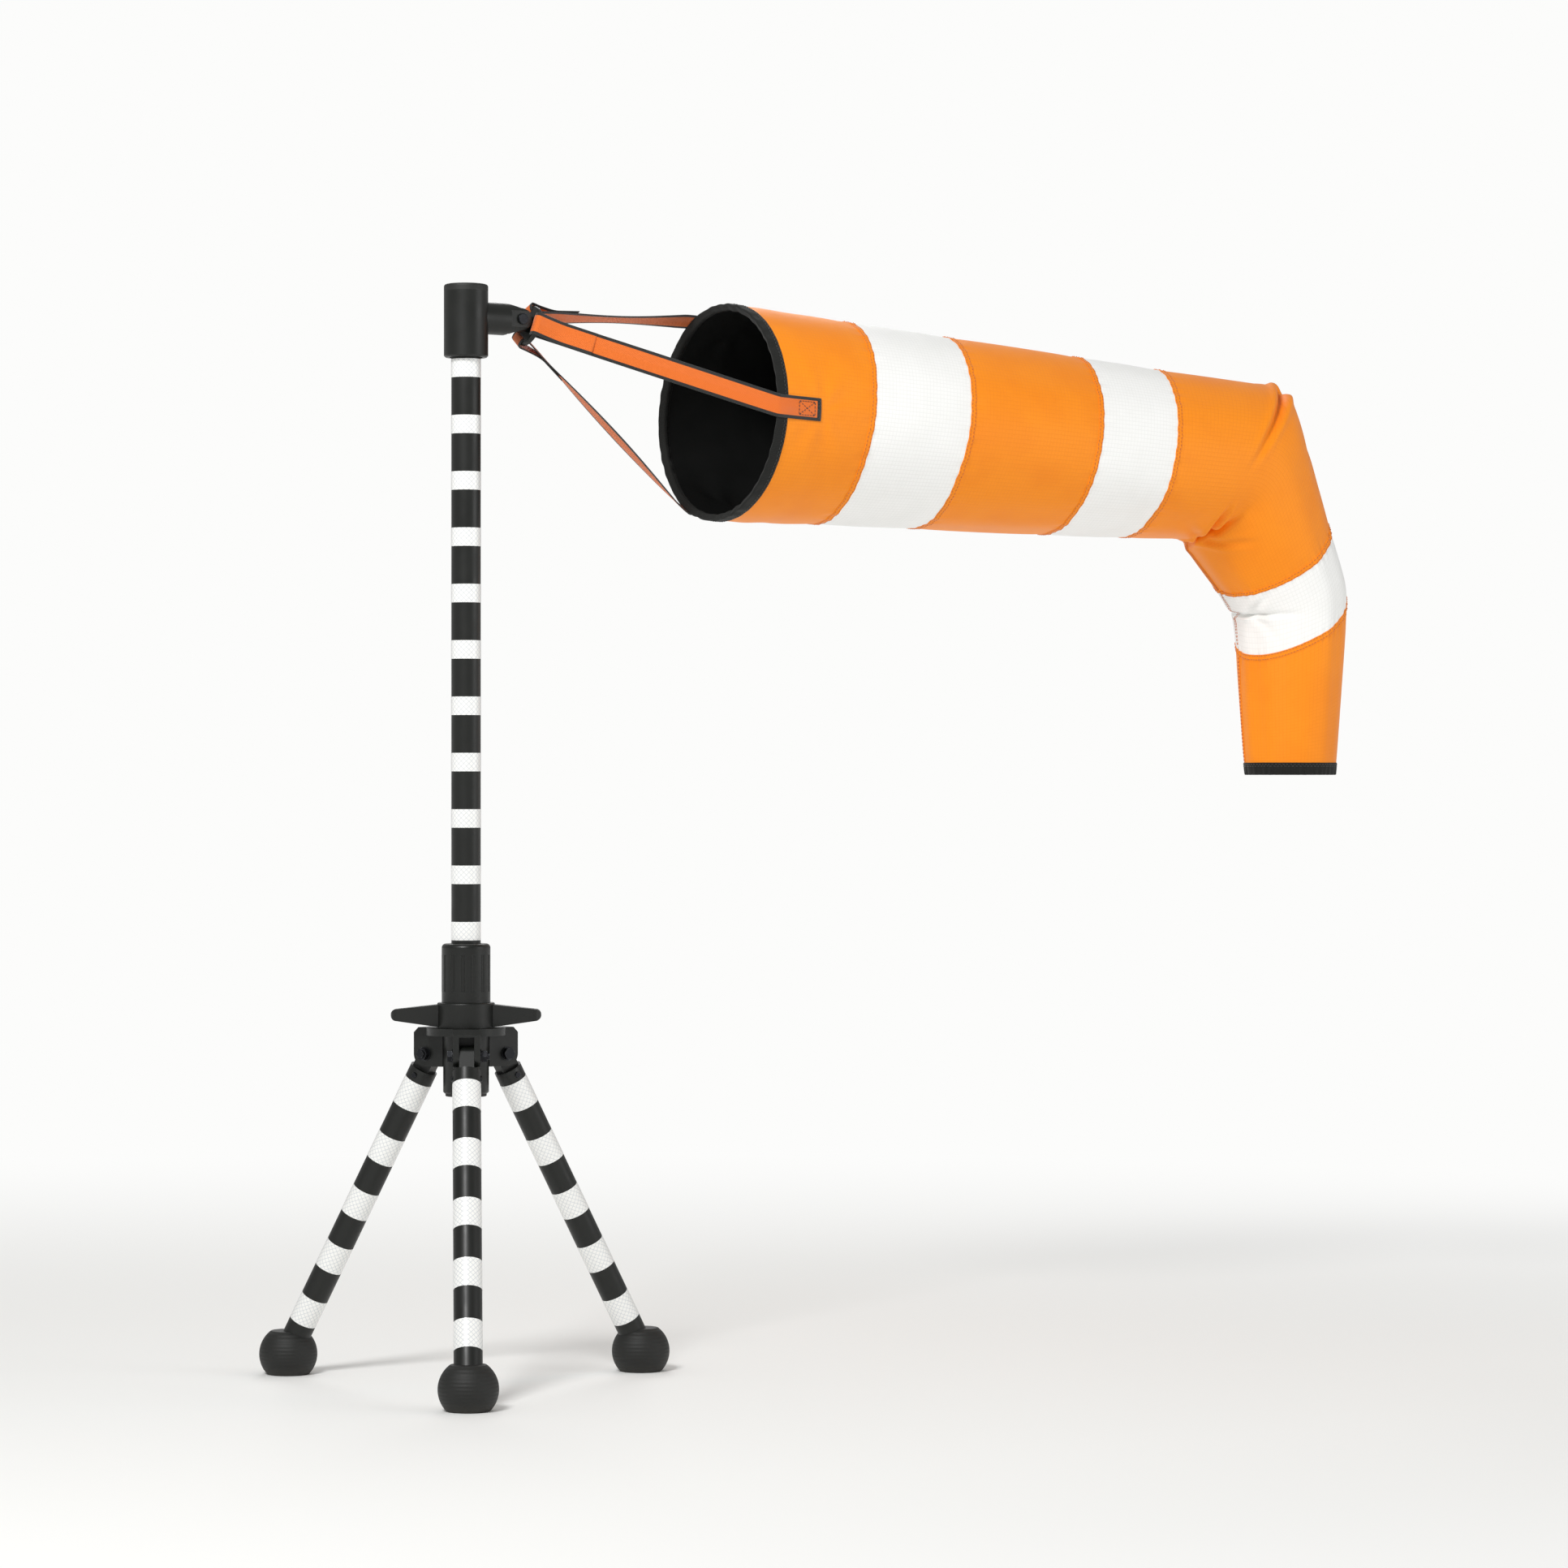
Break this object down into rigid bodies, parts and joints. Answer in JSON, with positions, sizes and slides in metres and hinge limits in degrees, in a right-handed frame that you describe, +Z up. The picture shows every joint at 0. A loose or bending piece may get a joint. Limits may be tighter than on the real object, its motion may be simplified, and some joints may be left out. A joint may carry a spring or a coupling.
{
  "type": "windsock with pole",
  "caption": "Portable windsock: banded fabric sock on a strap bridle and a free-turning ball-bearing head, on a banded mast clamped in a folding three-legged stand.",
  "frame": {"origin": "on the ground under the mast's axis", "axes": "+Z up along the mast, +X the way the sock streams at rest"},
  "size_m": [1.7217, 0.5666, 1.491],
  "materials": {
    "black_paint": "satin black powder coat",
    "black_hardware": "satin black zinc",
    "bearing_steel": "polished, ground",
    "black_nylon": "matte, moulded with a fine grain",
    "white_tape": "gloss reflective tape",
    "rubber": "matte moulded rubber",
    "orange_fabric": "matte coated plain weave",
    "white_fabric": "matte coated plain weave",
    "orange_webbing": "matte woven webbing",
    "black_binding": "matte folded binding tape"
  },
  "bodies": {
    "stand": {"hub_body": "black_paint", "base_plug": "black_nylon", "collet": "black_nylon", "leg_pivot_bolts": "black_hardware", "leg_pivot_nuts": "black_hardware", "leg_pivot_washers": "black_hardware"},
    "front_leg": {"front_leg_knuckle": "black_paint", "front_leg_tube": "black_paint", "front_leg_rivet": "black_hardware", "front_leg_white_bands": "white_tape", "front_foot": "rubber"},
    "right_leg": {"right_leg_knuckle": "black_paint", "right_leg_tube": "black_paint", "right_leg_rivet": "black_hardware", "right_leg_white_bands": "white_tape", "right_foot": "rubber"},
    "left_leg": {"left_leg_knuckle": "black_paint", "left_leg_tube": "black_paint", "left_leg_rivet": "black_hardware", "left_leg_white_bands": "white_tape", "left_foot": "rubber"},
    "clamp_nut": {"clamp_nut": "black_paint"},
    "mast": {"mast_tube": "black_paint", "mast_end_cap": "black_nylon", "mast_white_bands": "white_tape", "mast_spindle": "bearing_steel", "bearing_inner_races": "bearing_steel", "inner_spacer": "bearing_steel", "spindle_washer": "bearing_steel", "spindle_nut": "bearing_steel"},
    "head": {"head_housing": "black_paint", "bearing_outer_races": "bearing_steel", "bearing_balls": "bearing_steel", "outer_spacer": "bearing_steel", "circlip": "bearing_steel", "head_cap": "black_nylon", "cap_screws": "black_hardware", "bridle_arm": "black_paint", "fork_pin": "black_hardware", "fork_pin_clip": "black_hardware"},
    "sock_front": {"bridle_plate": "black_paint", "strap_near": "orange_webbing", "strap_top": "orange_webbing", "strap_bottom": "orange_webbing", "mouth_hoop": "bearing_steel", "mouth_binding": "black_binding", "band_1_orange": "orange_fabric", "band_2_white": "white_fabric", "band_3_orange": "orange_fabric", "band_4_white": "white_fabric", "band_5_orange_front": "orange_fabric"},
    "sock_mid": {"band_5_orange_back": "orange_fabric", "band_6_white_front": "white_fabric"},
    "sock_tail": {"band_6_white_back": "white_fabric", "band_7_orange": "orange_fabric", "tail_hem": "black_binding"}
  },
  "joints": [
    {"name": "front_leg_fold", "type": "hinge", "parent": "stand", "child": "front_leg", "pos_m": [-0.027, -0.04677, 0.448], "axis": [0.866, -0.5, 0], "range_deg": [0, 28.5]},
    {"name": "right_leg_fold", "type": "hinge", "parent": "stand", "child": "right_leg", "pos_m": [0.054, 0, 0.448], "axis": [0, 1, 0], "range_deg": [0, 28.5]},
    {"name": "left_leg_fold", "type": "hinge", "parent": "stand", "child": "left_leg", "pos_m": [-0.027, 0.04677, 0.448], "axis": [-0.866, -0.5, 0], "range_deg": [0, 28.5]},
    {"name": "clamp_nut_turn", "type": "hinge", "parent": "stand", "child": "clamp_nut", "pos_m": [0, 0, 0.5], "axis": [0, 0, 1], "range_deg": [0, 120]},
    {"name": "mast_lift", "type": "slide", "parent": "stand", "child": "mast", "axis": [0, 0, 1], "range_m": [0, 0.24]},
    {"name": "head_turn", "type": "hinge", "parent": "mast", "child": "head", "pos_m": [0, 0, 1.44], "axis": [0, 0, 1], "continuous": true},
    {"name": "sock_pitch", "type": "hinge", "parent": "head", "child": "sock_front", "pos_m": [0.078, 0, 1.447], "axis": [0, 1, 0], "range_deg": [-12, 40]},
    {"name": "sock_straighten", "type": "hinge", "parent": "sock_front", "child": "sock_mid", "pos_m": [1.41127, 0, 1.41789], "axis": [0, 1, 0], "range_deg": [-58, 0]},
    {"name": "tail_straighten", "type": "hinge", "parent": "sock_mid", "child": "sock_tail", "pos_m": [1.54264, 0, 1.11314], "axis": [0, 1, 0], "range_deg": [-29, 0]}
  ],
  "couplings": [
    {"joint": "tail_straighten", "follows": "sock_straighten", "ratio": 0.49}
  ]
}
